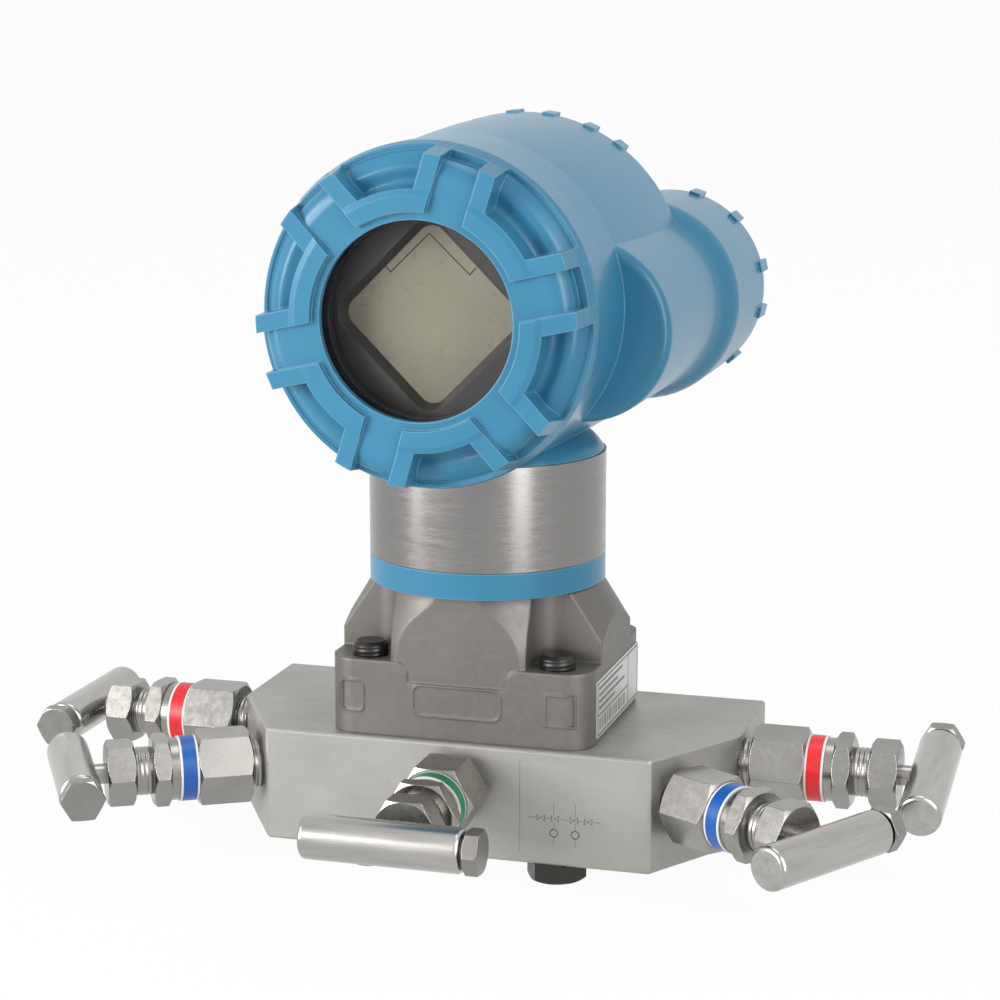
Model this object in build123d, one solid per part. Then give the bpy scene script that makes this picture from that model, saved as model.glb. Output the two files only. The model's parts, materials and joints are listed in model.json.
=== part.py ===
from build123d import *
from math import cos, radians, sin, sqrt, tan
import os

os.makedirs("parts", exist_ok=True)

# Millimetres, +X right, -Y to the front, +Z up. The origin is the centre of the
# manifold block's underside, below the axis on which the head turns.

# Clearances shared by every fit
running_clearance = 0.05
thread_clearance = 0.05
neck_clearance = 0.08
body_gap = 0.35
overlap = 1.0

# Manifold block
block_width = 175.0
block_height = 38.3
block_front = 38.5
block_rear = 41.9
corner_run = 21.7
corner_angle = 30.5
block_edge = 0.7
process_port_spacing = 54.0
process_port_radius = 9.25
process_port_depth = 19.0
passage_radius = 2.5

# Flange bolts, heads under the block
bolt_spacing_x = 64.2
bolt_spacing_y = 56.0
bolt_radius = 5.55
bolt_hole_clearance = 0.35
bolt_head_flats = 17.5
bolt_head_height = 7.2
bolt_end_stand = 4.8
bolt_end_chamfer = 0.9

# Sensor body
sensor_width = 89.4
sensor_depth = 72.0
sensor_corner = 9.0
flange_height = 25.5
pocket_radius = 9.0
dome_radius = 49.0
dome_shoulder = 5.8
crown_radius = 38.7
crown_height = 48.4
front_recess = 0.5
front_half_width = 17.0
front_flare = 4.0
arch_profile = ((0.0, 21.2), (5.2, 20.5), (8.7, 19.4), (13.2, 16.5), (17.7, 11.6), (22.9, 7.0))

# Cast frames on the sensor body's front and the plate on its right side
frame_raise = 0.35
frame_line = 0.7
frame_height = 11.0
frame_centre = 13.2
left_frame_x = -36.3
left_frame_width = 9.0
middle_frame_width = 30.6
right_frame_x = 35.3
right_frame_width = 11.0
side_label_width = 55.5
side_label_height = 19.3
side_label_y = 1.2
side_label_centre = 11.55
side_label_thickness = 0.4
side_label_corner = 1.0

# Seals and diaphragms between the block and the sensor body
isolator_spacing = 44.0
seal_radius = 15.0
seal_width = 2.2
seal_thickness = 3.0
diaphragm_thickness = 0.5

# Sensor neck that the head is screwed on
neck_radius = 30.9
neck_height = 31.0
neck_seat_depth = 3.0
neck_wall = 6.0
neck_seal_section = 2.6
neck_seal_height = 5.0
connector_radius = 9.0
connector_height = 7.0
connector_slot = 4.2
connector_slot_depth = 4.0

# Head: foot ring, label band and dome
head_height = 182.1
foot_radius = 39.5
foot_ring_height = 8.65
band_height = 34.8
band_thickness = 0.7
band_end_gap = 0.15
band_slit = 1.2
band_lip = 0.6
neck_shoulder_radius = 36.9
neck_shoulder_height = 3.0
neck_dome_height = 7.3
neck_dome_radius = 30.3
neck_headroom = 3.0
cable_hole_radius = 14.0
set_screw_radius = 2.5
set_screw_height = 4.3
set_screw_socket = 2.5
set_screw_socket_depth = 3.0
set_screw_sink = 0.4

# Head: main barrel, measured along its axis, + to the front
barrel_front = 50.5
barrel_front_radius = 53.5
barrel_waist = 28.0
barrel_waist_radius = 53.8
barrel_middle_radius = 55.3
barrel_rear = 50.0
barrel_rear_radius = 56.4
barrel_rear_round = 6.0
rear_rib_angles = (54.0, 66.0, 81.0, 94.0)
rear_rib_width = 4.0
rear_rib_length = 9.0
rear_rib_stand = 0.7
cavity_radius = 46.5
cavity_floor = 31.0
cavity_rear_wall = 8.0
thread_relief = 2.0

# Battery barrel, beside and below the main barrel's axis
battery_x = 39.4
battery_drop = 7.5
battery_front = 30.0
battery_front_radius = 29.3
battery_front_round = 3.0
battery_body_radius = 29.9
battery_step = 42.0
battery_step_length = 10.0
battery_flange_radius = 34.3
battery_rear = 88.0
battery_bore_radius = 25.6
battery_wall = 5.0
battery_end_wall = 6.0

# Display cover
cover_radius = 54.0
cover_side_front = 62.5
cover_face = 76.2
channel_half_width = 6.3
channel_flat_radius = 43.6
channel_edge_radius = 49.6
channel_edge_drop = 3.6
channel_shelf_drop = 8.2
channel_shelf_radius = 52.6
window_opening = 30.9
window_radius = 34.2
window_thickness = 6.0
window_lip = 2.5
window_ring_inner = 30.9
cover_thread_radius = 48.8
cover_skirt_length = 13.0
cover_skirt_wall = 4.3
cover_inner_face = 63.5
lug_count = 6
lug_angle = 13.0
lug_width = 5.4
lug_raise = 1.3
lug_top_radius = 51.2
ledge_inner = 33.4
ledge_outer = 38.4
ledge_raise = 2.1
ledge_bevel = 1.9
pocket_floor_shape = ((0.04, 7.2), (0.15, 8.2), (0.42, 7.5), (0.66, 9.2), (0.83, 12.0))
pocket_rim_shape = ((0.87, 11.4), (0.95, 11.4))
seal_section = 2.4

# Display and electronics
bezel_radius = 43.0
bezel_front = 62.0
bezel_wall = 1.8
bezel_depth = 15.5
lcd_size = 43.0
lcd_corner = 5.0
lcd_thickness = 2.4
lcd_recess = 3.4
bezel_slope = 2.0
bezel_lip = 1.0
board_radius = 42.6
board_thickness = 1.6
board_screw_circle = 37.0
board_screw_radius = 1.5
board_screw_head_radius = 2.8
board_screw_head_height = 2.0
board_screw_length = 10.0
board_screw_gap = 0.2
board_screw_room = 1.0
board_post_angles = (100.0, 215.0, 325.0)
board_boss_radius = 4.5
board_post_root = 5.0
board_web = 4.0
board_chips = ((-14.0, 6.0, 22.0, 16.0, 3.0), (14.0, -10.0, 16.0, 12.0, 2.2))

# Power module and its cover
module_radius = 24.8
module_length = 84.0
module_collar_radius = 21.0
module_collar_height = 6.0
module_slot_length = 24.0
module_slot_width = 6.0
contact_radius = 12.0
contact_height = 6.0
battery_thread_radius = 29.9
battery_cover_radius = 34.0
battery_cover_thickness = 11.0
battery_cover_round = 3.5
battery_skirt_length = 12.0
battery_skirt_wall = 4.0
battery_cover_wall = 4.0
battery_seal_thickness = 1.0
battery_lug_reach = 35.3
battery_lug_angle = 13.5
battery_lug_width = 4.0
battery_lug_inset = 0.6

# Valves, measured outwards from the block's face
bonnet_neck_radius = 7.85
bonnet_neck_length = 4.0
bonnet_flats = 23.0
bonnet_hex_length = 18.0
band_radius = 11.0
band_seat_radius = 9.4
valve_band_length = 6.4
bonnet_collar_radius = 10.5
bonnet_collar_length = 2.8
lock_nut_flats = 22.0
lock_nut_height = 5.8
gland_radius = 7.85
gland_free_length = 6.0
gland_flats = 20.0
gland_head_height = 9.3
packing_length = 5.0
gland_depth = 6.0
valve_thread_radius = 7.0
valve_thread_length = 13.0
valve_bore_depth = 14.0
valve_chamber_radius = 4.6
valve_chamber_length = 5.0
orifice_radius = 2.0
orifice_length = 9.0
stem_radius = 3.4
stem_pin_radius = 1.8
stem_pin_length = 3.0
tip_length = 9.0
tip_nose_length = 3.0
tip_nose_radius = 1.2
tip_seat_gap = 0.1
tip_nose_entry = 0.8
stem_pin_gap = 0.2
handle_height = 62.5
handle_radius = 7.15
handle_long_arm = 29.0
handle_short_arm = 23.0
handle_round = 1.6
handle_bolt_radius = 4.0
handle_bolt_flats = 13.0
handle_bolt_head = 4.9
handle_bolt_collar = 0.9
handle_bolt_collar_rim = 0.8
handle_bolt_gap = 0.1
stem_end_inset = 2.0
handle_tilt = 9.0

# Each valve: where its axis leaves the block, how far its handle is turned from
# level and how far its stem stands open, with the side its handle bolt points to
isolate_y = 4.75
isolate_z = 27.3
vent_z = 22.6
vent_from_corner = 12.4
equalize_z = 24.65
vent_open = 2.0

front_face_width = block_width - 2 * corner_run
corner_setback = corner_run / tan(radians(corner_angle))
vent_x = front_face_width / 2 + vent_from_corner * sin(radians(corner_angle))
vent_y = -block_front + vent_from_corner * cos(radians(corner_angle))
corner_normal = (cos(radians(corner_angle)), -sin(radians(corner_angle)))

valves = {
    "left_isolate": {
        "start": (-block_width / 2, isolate_y, isolate_z),
        "axis": (-1, 0, 0),
        "bar": (0, -1, 0),
        "open": 0.0,
    },
    "left_vent": {
        "start": (-vent_x, vent_y, vent_z),
        "axis": (-corner_normal[0], corner_normal[1], 0),
        "bar": (-corner_normal[1], -corner_normal[0], 0),
        "open": 0.0,
    },
    "equalize": {
        "start": (0, -block_front, equalize_z),
        "axis": (0, -1, 0),
        "bar": (1, 0, 0),
        "open": 0.0,
    },
    "right_vent": {
        "start": (vent_x, vent_y, vent_z),
        "axis": (corner_normal[0], corner_normal[1], 0),
        "bar": (-corner_normal[1], corner_normal[0], 0),
        "open": vent_open,
    },
    "right_isolate": {
        "start": (block_width / 2, isolate_y, isolate_z),
        "axis": (1, 0, 0),
        "bar": (0, cos(radians(handle_tilt)), sin(radians(handle_tilt))),
        "open": 0.0,
    },
}

band_groups = {
    "isolate_bands": ("left_isolate", "right_isolate"),
    "vent_bands": ("left_vent", "right_vent"),
    "equalize_band": ("equalize",),
}

# Heights worked out from the sizes above
sensor_base = block_height
pocket_floor = sensor_base + flange_height
sensor_top = sensor_base + crown_height
foot_bottom = sensor_top + body_gap
band_bottom = foot_bottom + foot_ring_height
band_top = band_bottom + band_height
neck_bore = neck_radius + neck_clearance
neck_top = sensor_top + neck_height
sensor_half_x = sensor_width / 2
sensor_half_y = sensor_depth / 2
bolt_x = bolt_spacing_x / 2
bolt_y = bolt_spacing_y / 2

# The head's own frame: x right, y up, z along the barrels to the front
head_plane = Plane(origin=(0, 0, head_height), x_dir=(1, 0, 0), z_dir=(0, -1, 0))
battery_offset = Location((battery_x, -battery_drop, 0))
up = (Align.CENTER, Align.CENTER, Align.MIN)


def rod(radius, start, end):
    return Pos(0, 0, min(start, end)) * Cylinder(radius, abs(end - start), align=up)


def tube(outer, inner, start, end):
    return rod(outer, start, end) - rod(inner, start, end)


def turned(*points):
    # A closed outline of (radius, height) points turned about the local z axis
    return spin(Polyline(*points, close=True))


def spin(outline):
    # Turns a flat outline drawn as (radius, height) about the local z axis
    return Rot(90, 0, 0) * revolve(make_face(outline), Axis.Y)


def hexagon(flats, start, end, chamfered=True):
    corner = flats / sqrt(3)
    prism = extrude(RegularPolygon(corner, 6), end - start)
    prism = Pos(0, 0, start) * prism
    if not chamfered:
        return prism
    flat = flats / 2
    bevel = (corner - flat) * tan(radians(30))
    blank = turned(
        (0, start),
        (flat, start),
        (corner, start + bevel),
        (corner, end - bevel),
        (flat, end),
        (0, end),
    )
    return prism & blank


def four_ways(x, y):
    return [(x, y), (-x, y), (-x, -y), (x, -y)]


def valve_plane(valve):
    return Plane(origin=valve["start"], x_dir=valve["bar"], z_dir=valve["axis"])


def around(count, first=0.0):
    return [Rot(0, 0, first + 360.0 / count * k) for k in range(count)]


def write(node, *pieces):
    solids = [solid for piece in pieces for solid in piece.solids()]
    shape = solids[0] if len(solids) == 1 else Compound(children=solids)
    shape.label = node
    export_step(shape, f"parts/{node}.step")


# Manifold block
def make_block():
    half = block_width / 2
    front_half = front_face_width / 2
    side_start = -block_front + corner_setback
    outline = Polyline(
        (-front_half, -block_front),
        (front_half, -block_front),
        (half, side_start),
        (half, block_rear),
        (-half, block_rear),
        (-half, side_start),
        close=True,
    )
    block = extrude(make_face(outline), block_height)
    block = chamfer(block.edges(), block_edge)
    for x, y in four_ways(bolt_x, bolt_y):
        block -= Pos(x, y, 0) * rod(bolt_radius + bolt_hole_clearance, 0, block_height)
    for side in (-1, 1):
        port_x = side * process_port_spacing / 2
        block -= Pos(port_x, 0, 0) * rod(process_port_radius, 0, process_port_depth)
        block -= Pos(port_x, isolate_y, 0) * rod(passage_radius, process_port_depth, isolate_z)
        sense_x = side * isolator_spacing / 2
        block -= Pos(sense_x, 0, 0) * rod(passage_radius, vent_z, block_height)
    for valve in valves.values():
        block -= valve_plane(valve) * valve_bore()
    for side in (-1, 1):
        reach = block_width / 2 - process_port_spacing / 2
        place = Plane(
            origin=(side * process_port_spacing / 2, isolate_y, isolate_z),
            z_dir=(side, 0, 0),
        )
        block -= place * rod(orifice_radius, 0, reach - valve_bore_depth)
    return block


def valve_bore():
    chamber_end = -valve_bore_depth - valve_chamber_length
    bore = rod(valve_thread_radius + thread_clearance, -valve_bore_depth, overlap)
    bore += rod(valve_chamber_radius, chamber_end, -valve_bore_depth)
    bore += rod(orifice_radius, chamber_end - orifice_length, chamber_end)
    return bore


# Flange bolts, from their heads under the block to their ends in the pockets
def make_flange_bolts():
    end = pocket_floor + bolt_end_stand
    bolt = hexagon(bolt_head_flats, -bolt_head_height, 0)
    bolt += turned(
        (0, 0),
        (bolt_radius, 0),
        (bolt_radius, end - bolt_end_chamfer),
        (bolt_radius - bolt_end_chamfer, end),
        (0, end),
    )
    return [Pos(x, y, 0) * bolt for x, y in four_ways(bolt_x, bolt_y)]


# Process seals and isolating diaphragms
def isolator_places():
    return [Pos(side * isolator_spacing / 2, 0, 0) for side in (-1, 1)]


def make_seals():
    ring = tube(seal_radius, seal_radius - seal_width, sensor_base, sensor_base + seal_thickness)
    return [place * ring for place in isolator_places()]


def make_diaphragms():
    start = sensor_base + seal_thickness - diaphragm_thickness
    disc = rod(seal_radius - seal_width, start, start + diaphragm_thickness)
    return [place * disc for place in isolator_places()]


# Sensor body: a flange under a dome, with a pocket at each bolt
def make_sensor_body():
    plan = RectangleRounded(sensor_width, sensor_depth, sensor_corner)
    flange = extrude(plan, flange_height)
    cone = turned(
        (0, 0),
        (dome_radius, 0),
        (dome_radius, flange_height + dome_shoulder),
        (crown_radius, crown_height),
        (0, crown_height),
    )
    upper = (extrude(plan, crown_height) & cone) - front_cuts()
    body = Pos(0, 0, sensor_base) * (flange + upper)
    for x, y in four_ways(1, 1):
        body -= Pos(0, 0, pocket_floor) * bolt_pocket(x, y)
        hole = rod(bolt_radius + thread_clearance, sensor_base, pocket_floor)
        body -= Pos(x * bolt_x, y * bolt_y, 0) * hole
    for place in isolator_places():
        body -= place * rod(seal_radius, sensor_base, sensor_base + seal_thickness)
    body -= rod(neck_radius - thread_clearance, sensor_top - neck_seat_depth, sensor_top)
    body -= front_flat()
    for frame in cast_frames():
        body += frame
    return body


def front_cuts():
    # What the arches on the front and the rear leave out of the dome
    flat = sensor_half_y - front_recess
    edge = [(sqrt(flat**2 + half**2), flange_height + height) for height, half in arch_profile]
    outline = Line((0, flange_height), edge[0]) + Spline(*edge)
    outline += Polyline(edge[-1], (0, crown_height), (0, flange_height))
    start = bolt_y - pocket_radius
    height = crown_height - flange_height
    slab = Box(sensor_width, sensor_half_y - start, height, align=(Align.CENTER, Align.MIN, Align.MIN))
    slab = Pos(0, start, flange_height) * slab - spin(outline)
    return slab + mirror(slab, about=Plane.XZ)


def front_flat():
    # The shallow flat that runs down from the arch into the flange's front
    low = sensor_base + frame_centre + frame_height / 2
    flare = front_half_width + front_flare
    outline = Polyline((0, low), (front_half_width, low), (front_half_width, pocket_floor - front_flare))
    outline += TangentArc(outline @ 1, (flare, pocket_floor), tangent=(0, 1))
    outline += Polyline(
        (flare, pocket_floor),
        (sensor_half_x, pocket_floor),
        (sensor_half_x, sensor_top),
        (0, sensor_top),
        (0, low),
    )
    plane = Plane(origin=(0, -sensor_half_y, 0), x_dir=(1, 0, 0), z_dir=(0, -1, 0))
    flat = extrude(plane * make_face(outline), amount=front_recess, dir=(0, 1, 0))
    return flat + mirror(flat, about=Plane.YZ)


def bolt_pocket(side_x, side_y):
    far = dome_radius + pocket_radius
    inner_x = bolt_x - pocket_radius
    inner_y = bolt_y - pocket_radius
    height = crown_height
    cut = Pos(bolt_x, bolt_y, 0) * rod(pocket_radius, 0, height)
    size_x = far - bolt_x
    size_y = far - bolt_y
    corner = (Align.MIN, Align.MIN, Align.MIN)
    cut += Pos(bolt_x, inner_y, 0) * Box(size_x, far - inner_y, height, align=corner)
    cut += Pos(inner_x, bolt_y, 0) * Box(far - inner_x, size_y, height, align=corner)
    if side_x < 0:
        cut = mirror(cut, about=Plane.YZ)
    if side_y < 0:
        cut = mirror(cut, about=Plane.XZ)
    return cut


def cast_frames():
    plates = [
        (left_frame_x, left_frame_width, 2.0),
        (0, middle_frame_width, 3.0),
        (right_frame_x, right_frame_width, 0.6),
    ]
    centre = (0, -sensor_half_y, sensor_base + frame_centre)
    plane = Plane(origin=centre, x_dir=(1, 0, 0), z_dir=(0, -1, 0))
    frames = []
    for x, width, corner in plates:
        inner = max(corner - frame_line, 0.2)
        outline = RectangleRounded(width, frame_height, corner)
        outline -= RectangleRounded(width - 2 * frame_line, frame_height - 2 * frame_line, inner)
        frames.append(plane * Pos(x, 0, 0) * extrude(outline, frame_raise))
    return frames


def make_side_label():
    plane = Plane(
        origin=(sensor_half_x, side_label_y, sensor_base + side_label_centre),
        x_dir=(0, 1, 0),
        z_dir=(1, 0, 0),
    )
    outline = RectangleRounded(side_label_width, side_label_height, side_label_corner)
    return plane * extrude(outline, side_label_thickness)


# Sensor neck, its seal and its connector
def make_sensor_neck():
    start = sensor_top - neck_seat_depth
    neck = rod(neck_radius - 2 * thread_clearance, start, sensor_top)
    neck += rod(neck_radius, sensor_top, neck_top)
    well = neck_radius - neck_wall
    neck -= rod(well, sensor_top + neck_wall, neck_top - neck_wall)
    neck -= rod(connector_radius, neck_top - neck_wall, neck_top)
    groove = sensor_top + neck_seal_height
    neck -= tube(neck_radius + overlap, neck_radius - neck_seal_section, groove, groove + neck_seal_section)
    return neck


def make_neck_seal():
    start = sensor_top + neck_seal_height
    return tube(neck_radius, neck_radius - neck_seal_section, start, start + neck_seal_section)


def make_sensor_connector():
    start = neck_top - neck_wall
    plug = rod(connector_radius - thread_clearance, start, neck_top + connector_height)
    slot = Box(connector_radius, connector_slot, connector_slot_depth, align=up)
    return plug - Pos(0, 0, neck_top + connector_height - connector_slot_depth) * slot


# Housing: neck, main barrel and battery barrel in one casting
def barrel_blank():
    rear = -barrel_rear
    front = Line((0, barrel_front), (barrel_front_radius, barrel_front))
    front += Line(front @ 1, (barrel_waist_radius, barrel_waist))
    draft = ThreePointArc(
        front @ 1,
        (barrel_middle_radius, 0),
        (barrel_rear_radius, rear + barrel_rear_round),
    )
    corner = TangentArc(
        draft @ 1,
        (barrel_rear_radius - barrel_rear_round, rear),
        tangent=(0, -1),
    )
    back = Polyline(corner @ 1, (0, rear), (0, barrel_front))
    return spin(front + draft + corner + back)


def battery_blank():
    edge = battery_front - battery_front_round
    front = Line((0, battery_front), (battery_front_radius - battery_front_round, battery_front))
    corner = TangentArc(front @ 1, (battery_front_radius, edge), tangent=(1, 0))
    body = Line(corner @ 1, (battery_body_radius, -battery_step))
    step = Spline(
        body @ 1,
        (battery_flange_radius, -battery_step - battery_step_length),
        tangents=[(0.3, -1), (0.1, -1)],
    )
    rear = Polyline(
        step @ 1,
        (battery_flange_radius, -battery_rear),
        (0, -battery_rear),
        (0, battery_front),
    )
    return battery_offset * spin(front + corner + body + step + rear)


def neck_blank():
    low = foot_bottom
    recess = band_seat_inner()
    outline = Polyline(
        (0, low),
        (foot_radius, low),
        (foot_radius, band_bottom),
        (recess, band_bottom),
        (recess, band_top),
        (foot_radius - band_lip, band_top),
    )
    dome = Spline(
        outline @ 1,
        (neck_shoulder_radius, band_top + neck_shoulder_height),
        (neck_dome_radius, band_top + neck_dome_height),
    )
    inside = Polyline(
        dome @ 1,
        (neck_dome_radius, head_height - cavity_radius + overlap),
        (0, head_height - cavity_radius + overlap),
        (0, low),
    )
    return spin(outline + dome + inside)


def cavity():
    # The deep part curves round the battery barrel's inner wall
    deep_end = -barrel_rear + cavity_rear_wall
    deep = rod(cavity_radius, deep_end, cavity_floor)
    deep -= battery_offset * rod(battery_bore_radius + battery_wall, deep_end, cavity_floor)
    return rod(cavity_radius, cavity_floor, barrel_front) + deep


def make_housing():
    blank = head_plane * (barrel_blank() + battery_blank())
    for angle in rear_rib_angles:
        blank += head_plane * (Rot(0, 0, angle) * rear_rib())
    blank += neck_blank()
    blank -= rod(neck_bore, foot_bottom, neck_top + neck_headroom)
    blank -= rod(cable_hole_radius, neck_top, head_height - cavity_radius / 2)
    shell = blank - head_plane * cavity()
    thread_end = barrel_front - cover_skirt_length - thread_relief
    shell -= head_plane * rod(cover_thread_radius + thread_clearance, thread_end, barrel_front)
    bore = rod(battery_bore_radius, -battery_rear, battery_front - battery_end_wall)
    thread_end = -battery_rear + battery_skirt_length + thread_relief
    bore += rod(battery_thread_radius + thread_clearance, -battery_rear, thread_end)
    shell -= head_plane * (battery_offset * bore)
    for place in board_posts():
        hole_end = board_front() - board_screw_length - thread_relief
        shell += head_plane * (place * board_post())
        shell -= head_plane * (place * rod(board_screw_radius, hole_end, board_front()))
    shell -= tube(foot_radius + body_gap, band_seat_inner(), band_bottom, band_top)
    shell -= set_screw_place() * rod(set_screw_radius, neck_bore - foot_radius - overlap, overlap)
    return shell


def rear_rib():
    reach = barrel_rear_radius + rear_rib_stand
    start = barrel_rear_radius - 2 * barrel_rear_round
    rib = Box(reach - start, rear_rib_width, rear_rib_length, align=(Align.MIN, Align.CENTER, Align.MIN))
    return Pos(start, 0, -barrel_rear) * rib & rod(reach, -barrel_rear, 0)


def board_post():
    # A boss that stands against the barrel's wall
    start = cavity_floor - board_post_root
    post = rod(board_boss_radius, start, board_front())
    web = Box(
        cavity_radius + overlap - board_screw_circle,
        board_web,
        barrel_front - cover_skirt_length - thread_relief - overlap - start,
        align=(Align.MIN, Align.CENTER, Align.MIN),
    )
    return post + Pos(0, 0, start) * web


def band_seat_inner():
    return foot_radius - band_thickness - thread_clearance


def board_front():
    return bezel_front - bezel_depth - board_thickness


def board_posts():
    return [Rot(0, 0, angle) * Pos(board_screw_circle, 0, 0) for angle in board_post_angles]


def set_screw_place():
    return Plane(origin=(0, foot_radius, foot_bottom + set_screw_height), z_dir=(0, 1, 0))


def make_set_screw():
    screw = rod(set_screw_radius - thread_clearance, -foot_radius + neck_bore + body_gap, -set_screw_sink)
    socket = hexagon(set_screw_socket, -set_screw_sink - set_screw_socket_depth, 0, False)
    return set_screw_place() * (screw - socket)


def make_label_band():
    inner = foot_radius - band_thickness
    band = tube(foot_radius, inner, band_bottom + band_end_gap, band_top - band_end_gap)
    slit = Pos(0, foot_radius, band_bottom) * Box(band_slit, neck_wall, band_height, align=up)
    return band - slit


# Display cover: pocketed ring, six channels and a lug on each side of each channel
def cover_point(part, drop):
    inner = ledge_outer + ledge_bevel
    return (inner + part * (cover_radius - inner), cover_face - drop)


def cover_ring():
    floor = [cover_point(*point) for point in pocket_floor_shape]
    rim = [cover_point(*point) for point in pocket_rim_shape]
    rear = barrel_front + body_gap
    side = Polyline((0, rear), (cover_radius, rear), (cover_radius, cover_side_front), *rim[::-1], floor[-1])
    ledge = Polyline(
        floor[0],
        (ledge_outer + ledge_bevel, cover_face + lug_raise),
        (ledge_outer, cover_face + ledge_raise),
        (ledge_inner, cover_face + ledge_raise),
        (ledge_inner, cover_face),
        (0, cover_face),
        (0, rear),
    )
    return spin(side + Spline(*floor) + ledge)


def channel_profile():
    shelf = cover_face - channel_shelf_drop
    outline = Polyline(
        (channel_flat_radius, cover_face),
        (0, cover_face),
        (0, cover_inner_face),
        (cover_radius, cover_inner_face),
        (channel_shelf_radius, shelf),
        (channel_edge_radius, shelf),
        (channel_edge_radius, cover_face - channel_edge_drop),
    )
    return spin(outline + TangentArc((channel_flat_radius, cover_face), outline @ 1, tangent=(1, 0)))


def channel_box():
    height = cover_face + ledge_raise + overlap - cover_inner_face
    box = Box(cover_radius, 2 * channel_half_width, height, align=(Align.MIN, Align.CENTER, Align.MIN))
    return Pos(window_opening, 0, cover_inner_face) * box


def lug_profile():
    return turned(
        (0, cover_inner_face),
        (cover_radius, cover_inner_face),
        (cover_radius, cover_side_front),
        (channel_shelf_radius, cover_face - channel_shelf_drop),
        (lug_top_radius, cover_face + lug_raise),
        (0, cover_face + lug_raise),
    )


def lug_bars():
    height = cover_face + lug_raise - cover_inner_face
    bar = Box(cover_radius, lug_width, height, align=(Align.MIN, Align.MIN, Align.MIN))
    bar = Pos(ledge_outer, channel_half_width, cover_inner_face) * bar
    return [bar, mirror(bar, about=Plane.XZ)]


def make_display_cover():
    turns = around(lug_count, lug_angle)
    channels = Compound(children=[turn * channel_box() for turn in turns])
    bars = Compound(children=[turn * bar for turn in turns for bar in lug_bars()])
    cover = (cover_ring() - channels) + (channel_profile() & channels) + (lug_profile() & bars)
    skirt_end = barrel_front - cover_skirt_length
    cover += rod(cover_thread_radius, skirt_end, barrel_front + body_gap)
    cover -= rod(cover_thread_radius - cover_skirt_wall, skirt_end, cover_inner_face)
    cover -= rod(window_opening, cover_inner_face, cover_face + overlap)
    cover -= rod(window_radius + thread_clearance, cover_inner_face, cover_face - window_lip)
    groove = cover_seal_start()
    cover -= tube(cover_thread_radius + overlap, cover_seal_inner(), groove, groove + seal_section)
    return head_plane * cover


def cover_seal_start():
    return barrel_front - overlap - seal_section


def cover_seal_inner():
    return cover_thread_radius - seal_section


def make_display_cover_seal():
    start = cover_seal_start() + running_clearance
    end = cover_seal_start() + seal_section - running_clearance
    return head_plane * tube(cover_thread_radius, cover_seal_inner() + running_clearance, start, end)


def make_window():
    front = cover_face - window_lip
    return head_plane * rod(window_radius, front - window_thickness, front)


def make_window_ring():
    front = cover_face - window_lip - window_thickness
    ring = tube(window_radius, window_ring_inner, cover_inner_face, front)
    return head_plane * ring


# Display bezel, panel and board
def diamond(size, corner, start, end):
    plate = extrude(RectangleRounded(size, size, corner), end - start)
    return Rot(0, 0, 45) * Pos(0, 0, start) * plate


def make_bezel():
    back = bezel_front - bezel_depth
    shell = rod(bezel_radius, back, bezel_front)
    shell -= rod(bezel_radius - bezel_wall, back, bezel_front - lcd_recess - lcd_thickness)
    lcd_front = bezel_front - lcd_recess
    shell -= diamond(lcd_size, lcd_corner, lcd_front - lcd_thickness, lcd_front)
    mouth = lcd_size - bezel_lip
    wide = mouth + 2 * bezel_slope
    turn = Rot(0, 0, 45)
    shell -= loft([
        turn * Pos(0, 0, lcd_front) * RectangleRounded(mouth, mouth, lcd_corner),
        turn * Pos(0, 0, bezel_front) * RectangleRounded(wide, wide, lcd_corner + bezel_slope),
    ])
    room = board_screw_room
    for place in board_posts():
        shell -= place * rod(board_screw_head_radius + room, back, back + board_screw_head_height + room)
    return head_plane * shell


def make_lcd():
    front = bezel_front - lcd_recess
    size = lcd_size - 2 * thread_clearance
    return head_plane * diamond(size, lcd_corner, front - lcd_thickness, front)


def make_board():
    back = board_front()
    board = rod(board_radius, back, back + board_thickness)
    for x, y, length, width, height in board_chips:
        board += Pos(x, y, back + board_thickness) * Box(length, width, height, align=up)
    for place in board_posts():
        board -= place * rod(board_screw_radius + board_screw_gap, back, back + board_thickness)
    return head_plane * board


def make_board_screws():
    seat = board_front() + board_thickness
    screw = rod(board_screw_head_radius, seat, seat + board_screw_head_height)
    screw += rod(board_screw_radius - thread_clearance, seat - board_screw_length, seat)
    return [head_plane * (place * screw) for place in board_posts()]


# Power module, its contact block, cover and seal
def make_contact():
    front = battery_front - battery_end_wall
    return head_plane * (battery_offset * rod(contact_radius, front - contact_height, front))


def make_power_module():
    front = battery_front - battery_end_wall - contact_height
    module = rod(module_radius, front - module_length, front)
    rear = front - module_length
    module += rod(module_collar_radius, rear - module_collar_height, rear)
    slot = Box(module_slot_length, module_slot_width, module_collar_height, align=up)
    module -= Pos(0, 0, rear - module_collar_height) * slot
    return head_plane * (battery_offset * module)


def battery_cover_front():
    return -battery_rear - body_gap - battery_seal_thickness - running_clearance


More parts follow.
